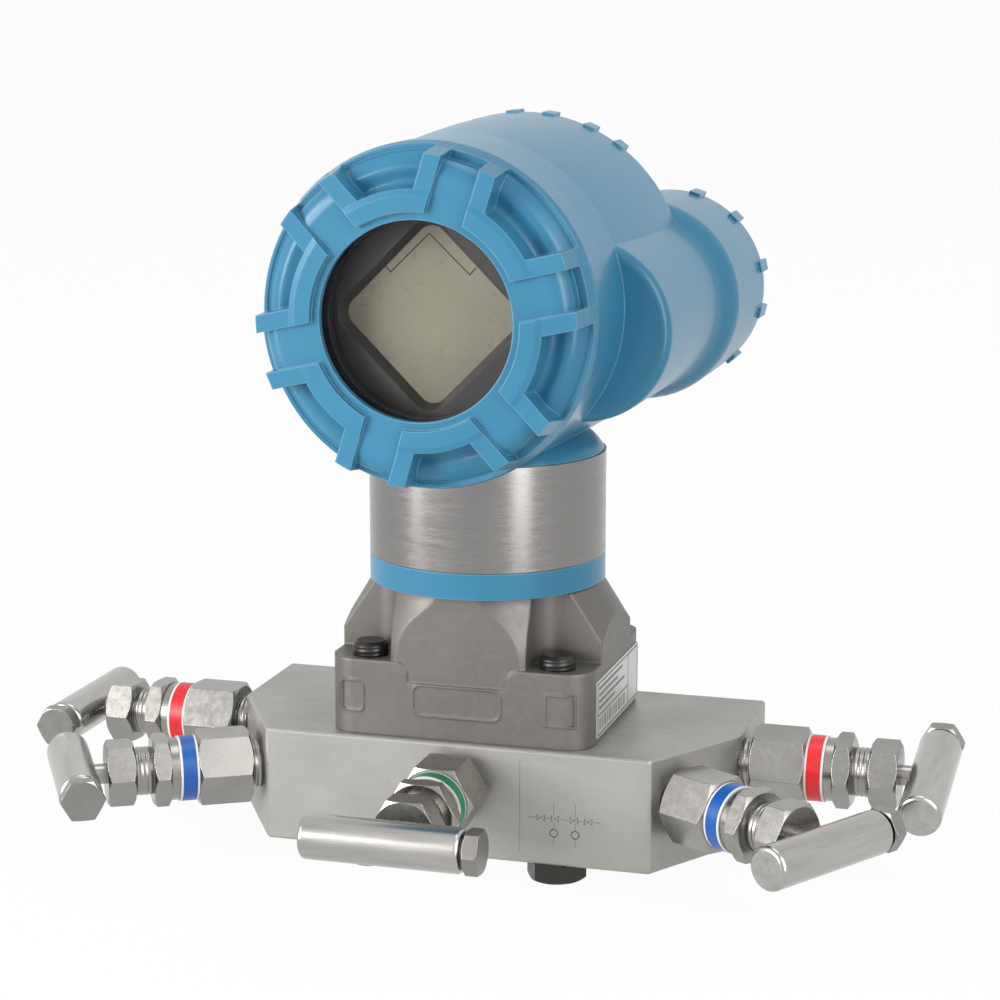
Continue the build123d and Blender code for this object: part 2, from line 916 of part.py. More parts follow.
def make_battery_cover():
    front = battery_cover_front()
    rear = front - battery_cover_thickness
    inner = battery_thread_radius - battery_skirt_wall
    round_r = battery_cover_round
    outline = Polyline((0, front), (battery_cover_radius, front), (battery_cover_radius, rear + round_r))
    corner = TangentArc(outline @ 1, (battery_cover_radius - round_r, rear), tangent=(0, -1))
    back = Polyline(corner @ 1, (0, rear), (0, front))
    cover = spin(outline + corner + back)
    cover += rod(battery_thread_radius, front, -battery_rear + battery_skirt_length)
    cover -= rod(inner, rear + battery_cover_wall, -battery_rear + battery_skirt_length)
    bar_start = inner + overlap
    bar = Box(
        battery_lug_reach - bar_start,
        battery_lug_width,
        front - battery_lug_inset - rear,
        align=(Align.MIN, Align.CENTER, Align.MIN),
    )
    bar = Pos(bar_start, 0, rear) * bar
    for side in (-1, 1):
        for turn in around(lug_count, side * battery_lug_angle):
            cover += turn * bar
    return head_plane * (battery_offset * cover)


def make_battery_cover_seal():
    start = -battery_rear - body_gap
    inner = battery_thread_radius + running_clearance
    ring = tube(battery_cover_radius, inner, start - battery_seal_thickness, start)
    return head_plane * (battery_offset * ring)


# Valves
hex_start = bonnet_neck_length
band_start = hex_start + bonnet_hex_length
collar_start = band_start + valve_band_length
bonnet_end = collar_start + bonnet_collar_length
nut_end = bonnet_end + lock_nut_height
gland_head_start = nut_end + gland_free_length
gland_end = gland_head_start + gland_head_height
packing_start = bonnet_end - gland_depth - packing_length
tip_end = -valve_bore_depth - valve_chamber_length + tip_length
stem_end = handle_height + handle_radius - stem_end_inset


def make_bonnet():
    bonnet = rod(valve_thread_radius, -valve_thread_length, 0)
    bonnet += rod(bonnet_neck_radius, 0, hex_start)
    bonnet += hexagon(bonnet_flats, hex_start, band_start)
    bonnet += rod(band_seat_radius, band_start, collar_start)
    bonnet += rod(bonnet_collar_radius, collar_start, bonnet_end)
    bonnet -= rod(stem_radius + running_clearance, -valve_thread_length, packing_start)
    bonnet -= rod(gland_radius + thread_clearance, packing_start, bonnet_end)
    return bonnet


def make_band():
    inner = band_seat_radius + thread_clearance
    return tube(band_radius, inner, band_start + thread_clearance, collar_start - thread_clearance)


def make_lock_nut():
    nut = hexagon(lock_nut_flats, bonnet_end, nut_end)
    return nut - rod(gland_radius + thread_clearance, bonnet_end, nut_end)


def make_gland():
    gland = rod(gland_radius, bonnet_end - gland_depth, gland_head_start)
    gland += hexagon(gland_flats, gland_head_start, gland_end)
    return gland - rod(stem_radius + running_clearance, bonnet_end - gland_depth, gland_end)


def make_packing():
    return tube(gland_radius, stem_radius + running_clearance, packing_start, bonnet_end - gland_depth)


def make_tip(lift):
    # Does not turn: it rides on the stem's pin and closes the orifice
    seat = -valve_bore_depth - valve_chamber_length
    nose = seat + tip_seat_gap - tip_nose_entry
    tip = turned(
        (0, nose),
        (tip_nose_radius, nose),
        (stem_radius, nose + tip_nose_length),
        (stem_radius, tip_end),
        (0, tip_end),
    )
    socket = stem_pin_length + stem_pin_gap
    tip -= rod(stem_pin_radius + running_clearance, tip_end - socket, tip_end)
    return Pos(0, 0, lift) * tip


def make_stem(lift):
    start = tip_end + running_clearance
    stem = rod(stem_pin_radius, tip_end - stem_pin_length, start)
    stem += rod(stem_radius, start, stem_end)
    return Pos(0, 0, lift) * stem


def handle_place(lift):
    return Pos(0, 0, handle_height + lift) * Rot(0, 90, 0)


def make_handle(lift):
    # The bar lies along local x; its bolt end is on the +x side
    bar = rod(handle_radius, -handle_long_arm, handle_short_arm)
    bar = fillet(bar.edges().filter_by(GeomType.CIRCLE), handle_round)
    bar -= rod(handle_bolt_radius + thread_clearance, stem_radius, handle_short_arm)
    bar = handle_place(lift) * bar
    hole = rod(stem_radius + running_clearance, handle_height - handle_radius - overlap, stem_end)
    return bar - Pos(0, 0, lift) * hole


def make_handle_bolt(lift):
    head_start = handle_short_arm + handle_bolt_collar
    bolt = rod(handle_bolt_radius, stem_radius + handle_bolt_gap, handle_short_arm)
    bolt += rod(handle_bolt_radius + handle_bolt_collar_rim, handle_short_arm, head_start)
    bolt += hexagon(handle_bolt_flats, head_start, head_start + handle_bolt_head)
    return handle_place(lift) * bolt


def write_valves():
    places = [valve_plane(valve) for valve in valves.values()]
    write("valve_bonnets", *[place * make_bonnet() for place in places])
    write("lock_nuts", *[place * make_lock_nut() for place in places])
    write("packing_nuts", *[place * make_gland() for place in places])
    write("packing_rings", *[place * make_packing() for place in places])
    for node, names in band_groups.items():
        write(node, *[valve_plane(valves[name]) * make_band() for name in names])
    for name, valve in valves.items():
        place = valve_plane(valve)
        lift = valve["open"]
        write(f"{name}_tip", place * make_tip(lift))
        write(f"{name}_stem", place * make_stem(lift))
        write(f"{name}_handle", place * make_handle(lift))
        write(f"{name}_handle_bolt", place * make_handle_bolt(lift))


write("manifold_block", make_block())
write("flange_bolts", *make_flange_bolts())
write("process_seals", *make_seals())
write("isolating_diaphragms", *make_diaphragms())
write("sensor_body", make_sensor_body())
write("side_label", make_side_label())
write("sensor_neck", make_sensor_neck())
write("neck_seal", make_neck_seal())
write("sensor_connector", make_sensor_connector())
write("housing", make_housing())
write("housing_set_screw", make_set_screw())
write("label_band", make_label_band())
write("display_cover", make_display_cover())
write("display_cover_seal", make_display_cover_seal())
write("display_window", make_window())
write("window_ring", make_window_ring())
write("display_bezel", make_bezel())
write("lcd_panel", make_lcd())
write("electronics_board", make_board())
write("board_screws", *make_board_screws())
write("battery_contact", make_contact())
write("power_module", make_power_module())
write("battery_cover", make_battery_cover())
write("battery_cover_seal", make_battery_cover_seal())
write_valves()
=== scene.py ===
import json
from math import cos, pi, radians, sin
import bpy
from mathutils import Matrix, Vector


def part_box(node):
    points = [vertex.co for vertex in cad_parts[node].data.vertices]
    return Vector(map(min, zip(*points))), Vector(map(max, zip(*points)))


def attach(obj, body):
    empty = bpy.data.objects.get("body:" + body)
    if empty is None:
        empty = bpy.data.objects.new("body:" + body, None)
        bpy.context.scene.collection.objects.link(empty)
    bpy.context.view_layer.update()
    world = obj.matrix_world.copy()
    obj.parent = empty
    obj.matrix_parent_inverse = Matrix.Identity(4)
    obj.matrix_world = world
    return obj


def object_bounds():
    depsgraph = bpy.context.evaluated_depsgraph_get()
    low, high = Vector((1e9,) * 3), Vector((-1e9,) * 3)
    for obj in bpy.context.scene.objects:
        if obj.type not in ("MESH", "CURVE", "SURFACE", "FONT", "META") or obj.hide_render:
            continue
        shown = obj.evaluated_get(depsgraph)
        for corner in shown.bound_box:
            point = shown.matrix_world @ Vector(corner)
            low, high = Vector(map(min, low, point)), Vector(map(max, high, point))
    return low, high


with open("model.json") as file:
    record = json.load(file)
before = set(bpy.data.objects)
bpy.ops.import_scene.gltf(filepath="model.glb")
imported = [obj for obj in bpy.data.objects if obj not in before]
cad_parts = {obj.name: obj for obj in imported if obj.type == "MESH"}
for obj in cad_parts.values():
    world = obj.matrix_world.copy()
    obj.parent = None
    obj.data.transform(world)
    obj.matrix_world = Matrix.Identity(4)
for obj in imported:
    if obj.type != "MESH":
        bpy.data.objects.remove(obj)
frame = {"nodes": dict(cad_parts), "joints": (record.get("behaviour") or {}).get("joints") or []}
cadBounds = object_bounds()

nodes = frame["nodes"]
mm = 0.001  # the scene is in metres
xWay, yWay, zWay = Vector((1, 0, 0)), Vector((0, 1, 0)), Vector((0, 0, 1))
white = (1.0, 1.0, 1.0, 1.0)
print("frame loaded:", len(nodes), "nodes")


def tone(red, green, blue):
    # an 8-bit screen colour as the light it stands for
    def light(value):
        value = value / 255
        return value / 12.92 if value <= 0.04045 else ((value + 0.055) / 1.055) ** 2.4
    return (light(red), light(green), light(blue), 1.0)


def shade(colour, factor):
    return (colour[0] * factor, colour[1] * factor, colour[2] * factor, 1.0)


class Wire:
    # a node's output that can be used in plain arithmetic
    def __init__(self, finish, socket):
        self.finish = finish
        self.socket = socket

    def sum(self, operation, first, second):
        return self.finish.add("ShaderNodeMath", {"operation": operation}, {0: first, 1: second})

    def __add__(self, other): return self.sum("ADD", self, other)
    def __radd__(self, other): return self.sum("ADD", other, self)
    def __sub__(self, other): return self.sum("SUBTRACT", self, other)
    def __rsub__(self, other): return self.sum("SUBTRACT", other, self)
    def __mul__(self, other): return self.sum("MULTIPLY", self, other)
    def __rmul__(self, other): return self.sum("MULTIPLY", other, self)
    def __gt__(self, other): return self.sum("GREATER_THAN", self, other)
    def __lt__(self, other): return self.sum("LESS_THAN", self, other)


class Finish:
    # the nodes of one material or of the world
    def __init__(self, owner):
        owner.use_nodes = True
        self.owner = owner
        self.tree = owner.node_tree
        self.tree.nodes.clear()

    def add(self, kind, settings=None, inputs=None, output=0):
        node = self.tree.nodes.new(kind)
        for key, value in (settings or {}).items():
            setattr(node, key, value)
        for key, value in (inputs or {}).items():
            if isinstance(value, Wire):
                self.tree.links.new(value.socket, node.inputs[key])
            else:
                node.inputs[key].default_value = value
        return Wire(self, node.outputs[output]) if node.outputs else None

    def place(self):
        return self.add("ShaderNodeTexCoord", output="Object")

    def vector(self, operation, inputs, output=0):
        return self.add("ShaderNodeVectorMath", {"operation": operation}, inputs, output)

    def along(self, place, axis):
        return self.vector("DOT_PRODUCT", {0: place, 1: axis}, "Value")

    def stretched(self, place, axis, factor):
        # squeezes or spreads a pattern along one direction
        reach = self.along(place, axis) * (factor - 1)
        return self.vector("ADD", {0: place, 1: self.vector("SCALE", {0: axis, "Scale": reach})})

    def noise(self, place, scale, detail=3.0, roughness=0.55, seed=0.0):
        inputs = {"Vector": place, "Scale": scale, "Detail": detail, "Roughness": roughness, "W": seed}
        return self.add("ShaderNodeTexNoise", {"noise_dimensions": "4D"}, inputs, "Fac")

    def span(self, value, low, high, outLow=0.0, outHigh=1.0):
        inputs = {"Value": value, "From Min": low, "From Max": high, "To Min": outLow, "To Max": outHigh}
        return self.add("ShaderNodeMapRange", {"clamp": True}, inputs)

    def swing(self, pattern, low, high):
        # a noise pattern as a value that moves between two limits
        return self.span(pattern, 0.3, 0.7, low, high)

    def blend(self, factor, first, second):
        # sockets 6 and 7 are the colours that go in, 2 the one that comes out
        return self.add("ShaderNodeMix", {"data_type": "RGBA"}, {0: factor, 6: first, 7: second}, 2)

    def mottle(self, pattern, colour, dark, light, low=0.3, high=0.7):
        return self.blend(self.span(pattern, low, high), shade(colour, dark), shade(colour, light))

    def rounded(self, radius):
        # softens sharp edges for the light alone
        return self.add("ShaderNodeBevel", {"samples": 6}, {"Radius": radius})

    def bump(self, height, strength, depth, normal):
        inputs = {"Height": height, "Strength": strength, "Distance": depth, "Normal": normal}
        return self.add("ShaderNodeBump", None, inputs)

    def done(self, **inputs):
        inputs = {key.replace("_", " "): value for key, value in inputs.items()}
        shader = self.add("ShaderNodeBsdfPrincipled", None, inputs)
        self.add("ShaderNodeOutputMaterial", None, {"Surface": shader})
        return self.owner

    def seenWhite(self):
        # 1 where the camera, a gloss or a clear pane looks at the studio itself
        kinds = ("Is Camera Ray", "Is Glossy Ray", "Is Transmission Ray")
        straight, gloss, through = (self.add("ShaderNodeLightPath", output=kind) for kind in kinds)
        return self.span(straight + gloss + through, 0.0, 1.0)


def newFinish(name):
    return Finish(bpy.data.materials.new(name))


def dress(node, material):
    piece = nodes[node]
    piece.data.materials.clear()
    piece.data.materials.append(material)
    for face in piece.data.polygons:
        face.material_index = 0


# blue paint on the cast housing and the two covers, with a painted highlight that makes it paler along its
# edges
bluePaint = {"nodes": ("housing", "display_cover", "battery_cover"),
             "colour": tone(54, 124, 157), "rough": 0.34, "coat": 0.22, "coatRough": 0.1, "level": 0.2,
             "cloud": 14.0, "speck": 700.0, "speckShare": 0.25, "peel": 900.0, "peelDepth": 0.012 * mm,
             "edge": 0.8 * mm, "paintedEdgeHighlight": 0.45, "paintedEdgeHighlightTone": tone(150, 200, 225)}


def paintedCasting(name):
    made = newFinish(name)
    colour, rough = bluePaint["colour"], bluePaint["rough"]
    place = made.place()
    cloud = made.noise(place, bluePaint["cloud"], 4.0)
    speck = made.noise(place, bluePaint["speck"], 2.0, seed=3.0)
    peel = made.noise(place, bluePaint["peel"], 2.0, seed=7.0)
    base = made.mottle(cloud, colour, 0.93, 1.05)
    base = made.blend(made.span(speck, 0.66, 0.78, 0.0, bluePaint["speckShare"]), base, shade(colour, 1.35))
    edge = made.rounded(bluePaint["edge"])
    # painted highlight: the colour turns paler where the rounded edge's normal leaves the face's, in place of
    # light glinting along the edges
    paintedEdgeHighlight = 1 - made.along(edge, made.add("ShaderNodeNewGeometry", output="Normal"))
    base = made.blend(made.span(paintedEdgeHighlight, 0.02, 0.12, 0.0, bluePaint["paintedEdgeHighlight"]), base, bluePaint["paintedEdgeHighlightTone"])
    normal = made.bump(peel + cloud * 0.6, 0.5, bluePaint["peelDepth"], edge)
    return made.done(Base_Color=base, Roughness=made.swing(cloud, rough - 0.04, rough + 0.05), Normal=normal,
                     Coat_Weight=bluePaint["coat"], Coat_Roughness=bluePaint["coatRough"],
                     Specular_IOR_Level=bluePaint["level"])


for node in bluePaint["nodes"]:
    dress(node, paintedCasting(node + "Paint"))

# the block, milled and then blasted
milledSteel = {"colour": tone(170, 168, 163), "metal": 0.55, "rough": 0.44, "cloud": 22.0, "fleck": 900.0,
               "fleckShare": 0.3, "grain": 260.0, "stretch": 0.35, "depth": 0.02 * mm, "edge": 0.5 * mm}


def blastedBlock(name):
    made = newFinish(name)
    colour, rough = milledSteel["colour"], milledSteel["rough"]
    place = made.place()
    cloud = made.noise(place, milledSteel["cloud"], 5.0, 0.6)
    pulled = made.stretched(place, xWay, milledSteel["stretch"])
    grain = made.noise(pulled, milledSteel["grain"], 4.0, 0.7, 2.0)
    fleck = made.noise(place, milledSteel["fleck"], 1.0, seed=5.0)
    base = made.mottle(cloud, colour, 0.82, 1.0, 0.32, 0.68)
    base = made.blend(made.span(fleck, 0.62, 0.75, 0.0, milledSteel["fleckShare"]), base, shade(colour, 0.66))
    normal = made.bump(grain + fleck * 0.5, 0.6, milledSteel["depth"], made.rounded(milledSteel["edge"]))
    return made.done(Base_Color=base, Metallic=milledSteel["metal"],
                     Roughness=made.swing(grain, rough - 0.08, rough + 0.1), Normal=normal)


dress("manifold_block", blastedBlock("blockSteel"))

# the cast sensor body
castSteel = {"colour": tone(112, 109, 105), "metal": 0.5, "rough": 0.46, "cloud": 30.0, "grain": 420.0,
             "grainShare": 0.3, "depth": 0.045 * mm, "edge": 1.2 * mm}


def castBody(name):
    made = newFinish(name)
    colour, rough = castSteel["colour"], castSteel["rough"]
    place = made.place()
    cloud = made.noise(place, castSteel["cloud"], 4.0)
    grain = made.noise(place, castSteel["grain"], 5.0, 0.7, 1.0)
    base = made.mottle(cloud, colour, 0.88, 1.06)
    base = made.blend(made.span(grain, 0.5, 0.8, 0.0, castSteel["grainShare"]), base, shade(colour, 1.5))
    normal = made.bump(grain + cloud * 0.8, 0.7, castSteel["depth"], made.rounded(castSteel["edge"]))
    return made.done(Base_Color=base, Metallic=castSteel["metal"],
                     Roughness=made.swing(grain, rough - 0.08, rough + 0.1), Normal=normal)


dress("sensor_body", castBody("bodySteel"))

# turned and brushed steel: a spread over 1 draws rings round the axis, under 1 lines along it
brushedSteel = {"colour": tone(158, 156, 152), "rough": 0.22, "lines": 240.0, "broad": 60.0,
                "depth": 0.006 * mm, "edge": 0.35 * mm}
bandSteel = {"spread": 30.0, "colour": tone(140, 138, 136), "rough": 0.24}
turnedSpread = 20.0
discSpread = 0.2


def brushed(name, axis, spread, colour=brushedSteel["colour"], rough=brushedSteel["rough"]):
    made = newFinish(name)
    place = made.place()
    lines = made.noise(made.stretched(place, axis, spread), brushedSteel["lines"], 3.0, 0.7)
    broad = made.noise(made.stretched(place, axis, spread * 0.3 + 0.1), brushedSteel["broad"], 3.0, seed=4.0)
    base = made.mottle(lines, colour, 0.8, 1.05)
    value = made.span(lines + broad, 0.7, 1.3, rough - 0.06, rough + 0.1)
    normal = made.bump(lines, 0.45, brushedSteel["depth"], made.rounded(brushedSteel["edge"]))
    return made.done(Base_Color=base, Metallic=1.0, Roughness=value, Normal=normal)


dress("label_band", brushed("bandSteel", zWay, bandSteel["spread"], bandSteel["colour"], bandSteel["rough"]))
dress("sensor_neck", brushed("neckSteel", zWay, turnedSpread))
dress("isolating_diaphragms", brushed("diaphragmSteel", zWay, discSpread))

# the plainer pieces, each with a small variation of its own colour
plainPieces = {
    "housing_set_screw": {"name": "screwSteel", "colour": tone(90, 88, 86), "rough": 0.35, "metal": 1.0},
    "flange_bolts": {"name": "boltBlack", "colour": tone(62, 60, 58), "rough": 0.38, "metal": 0.9},
    "process_seals": {"name": "sealWhite", "colour": tone(225, 222, 214), "rough": 0.5},
    "side_label": {"name": "labelPlate", "colour": tone(205, 205, 203), "rough": 0.4, "metal": 0.3},
    "window_ring": {"name": "ringBlack", "colour": tone(40, 40, 42), "rough": 0.4},
    "display_bezel": {"name": "bezelPlastic", "colour": tone(64, 61, 60), "rough": 0.32},
    "lcd_panel": {"name": "lcdFace", "colour": tone(146, 141, 124), "rough": 0.3, "scale": 400.0},
    "electronics_board": {"name": "boardGreen", "colour": tone(28, 92, 52), "rough": 0.4},
    "board_screws": {"name": "zincScrew", "colour": tone(190, 190, 185), "rough": 0.3, "metal": 1.0},
    "battery_contact": {"name": "contactPlastic", "colour": tone(45, 45, 48), "rough": 0.45},
    "power_module": {"name": "modulePlastic", "colour": tone(60, 66, 62), "rough": 0.45},
    "sensor_connector": {"name": "connectorPlastic", "colour": tone(40, 40, 42), "rough": 0.5},
    "packing_rings": {"name": "packingWhite", "colour": tone(220, 218, 210), "rough": 0.5},
}
sealRubber = {"nodes": ("neck_seal", "display_cover_seal", "battery_cover_seal"),
              "look": {"colour": tone(28, 28, 29), "rough": 0.6}}
hexSteel = {"nodes": ("valve_bonnets", "lock_nuts", "packing_nuts"),
            "look": {"colour": tone(150, 148, 144), "rough": 0.24, "metal": 1.0, "scale": 420.0,
                     "depth": 0.0025 * mm}}


def mottled(name, colour, rough, metal=0.0, scale=300.0, depth=0.01 * mm):
    made = newFinish(name)
    place = made.place()
    grain = made.noise(place, scale, 4.0, 0.6)
    broad = made.noise(place, scale / 12, 3.0, seed=2.0)
    normal = made.bump(grain, 0.5, depth, made.rounded(0.3 * mm))
    return made.done(Base_Color=made.mottle(broad, colour, 0.86, 1.1), Metallic=metal,
                     Roughness=made.swing(grain, rough - 0.05, rough + 0.07), Normal=normal)


for node, look in plainPieces.items():
    dress(node, mottled(**look))
for node in sealRubber["nodes"]:
    dress(node, mottled(node + "Rubber", **sealRubber["look"]))
for node in hexSteel["nodes"]:
    dress(node, mottled(node + "Steel", **hexSteel["look"]))

# the clear window of the display cover
windowGlass = {"tint": (0.02, 0.022, 0.022, 1.0), "clear": 0.03, "edge": 0.3, "film": 35.0,
               "rough": (0.015, 0.025)}


def clearGlass(name):
    made = newFinish(name)
    film = made.noise(made.place(), windowGlass["film"], 3.0)
    facing = made.add("ShaderNodeLayerWeight", None, {"Blend": 0.25}, "Fresnel")
    alpha = made.span(facing, 0.0, 1.0, windowGlass["clear"], windowGlass["edge"])
    rough = made.swing(film, *windowGlass["rough"])
    return made.done(Base_Color=windowGlass["tint"], Roughness=rough, Alpha=alpha)


dress("display_window", clearGlass("windowGlass"))


def findValves():
    # each valve's origin and outward axis, from the joint that turns its handle
    found = {}
    for joint in frame["joints"]:
        if joint["name"].endswith("_turn") and joint["child"].endswith("_handle"):
            name = joint["child"].removesuffix("_handle")
            found[name] = (Vector(joint["pos_m"]), Vector(joint["axis"]).normalized())
    return found


valves = findValves()

# coloured rings on the bonnets: a colour field between two white borders
valveBand = {"start": 22.0 * mm, "length": 6.4 * mm, "border": 0.8 * mm, "white": tone(232, 232, 230),
             "grain": 500.0, "depth": 0.008 * mm, "edge": 0.3 * mm, "rough": (0.3, 0.4),
             "kinds": {"isolate": {"node": "isolate_bands", "colour": tone(222, 30, 38)},
                       "vent": {"node": "vent_bands", "colour": tone(0, 86, 168)},
                       "equalize": {"node": "equalize_band", "colour": tone(0, 128, 78)}}}


def bandFinish(name, colour, axis, mirrored, start, end):
    made = newFinish(name)
    place = made.place()
    if mirrored:  # the left and the right ring share one node, so x counts without its sign
        sideways = made.along(made.vector("ABSOLUTE", {0: place}), xWay)
        reach = sideways * axis.x + made.along(place, yWay) * axis.y
    else:
        reach = made.along(place, axis)
    inside = (reach > start + valveBand["border"]) * (reach < end - valveBand["border"])
    grain = made.noise(place, valveBand["grain"], 3.0)
    tint = made.mottle(grain, colour, 0.9, 1.08, 0.35, 0.65)
    normal = made.bump(grain, 0.4, valveBand["depth"], made.rounded(valveBand["edge"]))
    return made.done(Base_Color=made.blend(inside, valveBand["white"], tint),
                     Roughness=made.swing(grain, *valveBand["rough"]), Normal=normal)


for word, kind in valveBand["kinds"].items():
    paired = word != "equalize"
    start, axis = valves["right_" + word if paired else word]
    low = start.dot(axis) + valveBand["start"]
    high = low + valveBand["length"]
    dress(kind["node"], bandFinish(word + "Band", kind["colour"], axis, paired, low, high))

# stems, T-bars and the bolts in their ends
barSteel = {"spread": 0.08, "colour": tone(178, 176, 172)}
barBolt = {"colour": tone(140, 138, 134), "rough": 0.3, "metal": 1.0}
for name, (start, axis) in valves.items():
    dress(name + "_tip", brushed(name + "TipSteel", axis, turnedSpread))
    dress(name + "_stem", brushed(name + "StemSteel", axis, turnedSpread))
    across = zWay.cross(axis)  # the bar's grain runs level and across the stem
    dress(name + "_handle", brushed(name + "BarSteel", across, barSteel["spread"], barSteel["colour"]))
    dress(name + "_handle_bolt", mottled(name + "BoltSteel", **barBolt))
print("finishes done")


def makePiece(name, points, faces, body, material, smooth=False):
    mesh = bpy.data.meshes.new(name)
    mesh.from_pydata([tuple(point) for point in points], [], faces)
    mesh.validate()
    piece = bpy.data.objects.new(name, mesh)
    bpy.context.scene.collection.objects.link(piece)
    mesh.materials.append(material)
    for face in mesh.polygons:
        face.use_smooth = smooth
    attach(piece, body)


# turned threads, laid over the plain cylinders of the frame
thread = {"sides": 48, "rows": 4, "wall": 0.25 * mm}


def threadRows(start, axis, length, radius, crest, pitch):
    # one closed sleeve whose crest runs round as a helix and fades out at both ends
    side = axis.orthogonal().normalized()
    other = axis.cross(side)
    count = thread["sides"]
    steps = max(2, round(length / pitch * thread["rows"]))
    angles = [2 * pi * turn / count for turn in range(count)]
    spokes = [side * cos(angle) + other * sin(angle) for angle in angles]
    rows = []
    for step in range(steps + 1):
        reach = length * step / steps
        fade = min(1.0, 2 * reach / pitch, 2 * (length - reach) / pitch)
        row = []
        for turn in range(count):
            phase = (reach / pitch - turn / count) % 1.0
            rise = crest * fade * (1 - abs(2 * phase - 1))
            row.append(start + axis * reach + spokes[turn] * (radius + rise))
        rows.append(row)
    for reach in (length, 0.0):  # the inside wall, back to the start
        rows.append([start + axis * reach + spoke * (radius - thread["wall"]) for spoke in spokes])
    points = [point for row in rows for point in row]
    faces = []
    for step in range(len(rows)):
        low = step * count
        high = (step + 1) % len(rows) * count
        for turn in range(count):
            after = (turn + 1) % count
            faces.append((low + turn, low + after, high + after, high + turn))
    return points, faces


def threadPiece(name, places, cut, material):
    # one piece of several sleeves, each from its start, its axis and its length
    points, faces = [], []
    for start, axis, length in places:
        more, rings = threadRows(start, axis, length, cut["radius"], cut["crest"], cut["pitch"])
        shift = len(points)
        points += more
        faces += [tuple(corner + shift for corner in ring) for ring in rings]
    makePiece(name, points, faces, "manifold", material, True)


# starts are measured from the block along the valve's axis, low and top down from the bolts' ends
valveThread = {"radius": 7.85 * mm, "crest": 0.4 * mm, "pitch": 1.5 * mm,
               "neck": {"start": 0.25 * mm, "length": 3.5 * mm},
               "gland": {"start": 37.2 * mm, "length": 5.6 * mm},
               "look": {"colour": tone(150, 148, 143), "rough": 0.3, "metal": 1.0}}
boltThread = {"radius": 5.55 * mm, "crest": 0.4 * mm, "pitch": 1.6 * mm, "low": 4.7 * mm, "top": 0.9 * mm,
              "x": 32.1 * mm, "y": 28.0 * mm,
              "look": {"colour": tone(62, 60, 58), "rough": 0.38, "metal": 0.9}}


def makeThreads():
    steel = mottled("threadSteel", **valveThread["look"])
    for word in ("neck", "gland"):
        part = valveThread[word]
        places = [(start + axis * part["start"], axis, part["length"]) for start, axis in valves.values()]
        threadPiece(word + "Threads", places, valveThread, steel)
    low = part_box("flange_bolts")[1].z - boltThread["low"]
    length = boltThread["low"] - boltThread["top"]
    places = []
    for x in (-boltThread["x"], boltThread["x"]):
        for y in (-boltThread["y"], boltThread["y"]):
            places.append((Vector((x, y, low)), zWay, length))
    black = mottled("boltThreadBlack", **boltThread["look"])
    threadPiece("boltThreads", places, boltThread, black)


makeThreads()
print("threads done")

# thin printed or etched lines on an upright flat face, drawn in millimetres to the side and up
lineDepth = {"rise": 0.04 * mm, "sunk": 0.03 * mm}
boxSides = ((3, 2, 1, 0), (4, 5, 6, 7), (0, 1, 5, 4), (1, 2, 6, 5), (2, 3, 7, 6), (3, 0, 4, 7))


def strokes(name, origin, right, lines, width, body, material, rise=lineDepth["rise"]):
    outward = right.cross(zWay)
    points, faces = [], []
    for line in lines:
        for first, last in zip(line, line[1:]):
            a = origin + (right * first[0] + zWay * first[1]) * mm
            b = origin + (right * last[0] + zWay * last[1]) * mm
            ahead = (b - a).normalized() * width / 2
            aside = outward.cross(ahead)
            shift = len(points)
            for depth in (-lineDepth["sunk"], rise):
                lift = outward * depth
                points += [a - ahead - aside + lift, b + ahead - aside + lift]
                points += [b + ahead + aside + lift, a - ahead + aside + lift]
            faces += [tuple(corner + shift for corner in side) for side in boxSides]
    makePiece(name, points, faces, body, material)


# a plain corner line on the display, as such panels show it
cornerMark = {"line": [(-15.6, 197.0), (-13.6, 194.9), (-1.0, 207.2), (12.0, 194.9), (14.0, 197.0)],
              "width": 0.34 * mm, "look": {"colour": tone(35, 34, 32), "rough": 0.4}}
panelFront = Vector((0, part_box("lcd_panel")[0].y, 0))
strokes("displayMark", panelFront, xWay, [cornerMark["line"]], cornerMark["width"], "head",
        mottled("markBlack", **cornerMark["look"]))

# generic grey lines and bars on the plate of the sensor body, measured from its lower corner
plateMarks = {"margin": 1.0, "split": 7.5, "column": 14.0, "width": 0.4 * mm,
              "look": {"colour": tone(70, 70, 70), "rough": 0.5}}
plateRows = {"left": 3.0, "lengths": (30.0, 24.0, 33.0, 20.0), "top": 16.4, "gap": 2.2, "width": 0.9 * mm,
             "look": {"colour": tone(120, 120, 120), "rough": 0.5}}
plateBars = {"count": 17, "left": 3.5, "low": 2.6, "high": 6.0, "step": 1.5, "spare": 0.6, "width": 0.5 * mm}


def makePlateMarks():
    low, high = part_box("side_label")
    origin = Vector((high.x, low.y, low.z))
    ink = mottled("plateInk", **plateMarks["look"])
    near = plateMarks["margin"]
    wide, tall = (high.y - low.y) / mm - near, (high.z - low.z) / mm - near
    split, column = plateMarks["split"], wide + near - plateMarks["column"]
    fields = [[(near, near), (wide, near), (wide, tall), (near, tall), (near, near)],
              [(near, split), (column, split)], [(column, near), (column, tall)]]
    strokes("plateFrame", origin, yWay, fields, plateMarks["width"], "manifold", ink)
    rows = []
    for row, length in enumerate(plateRows["lengths"]):
        level = plateRows["top"] - row * plateRows["gap"]
        rows.append([(plateRows["left"], level), (plateRows["left"] + length, level)])
    strokes("plateRows", origin, yWay, rows, plateRows["width"], "manifold",
            mottled("plateGrey", **plateRows["look"]))
    bars = []
    place = plateBars["left"]
    for bar in range(plateBars["count"]):
        bars.append([(place, plateBars["low"]), (place, plateBars["high"])])
        place += plateBars["step"] + plateBars["spare"] * (bar * 7 % 3)  # uneven gaps
    strokes("plateBars", origin, yWay, bars, plateBars["width"], "manifold", ink)


makePlateMarks()

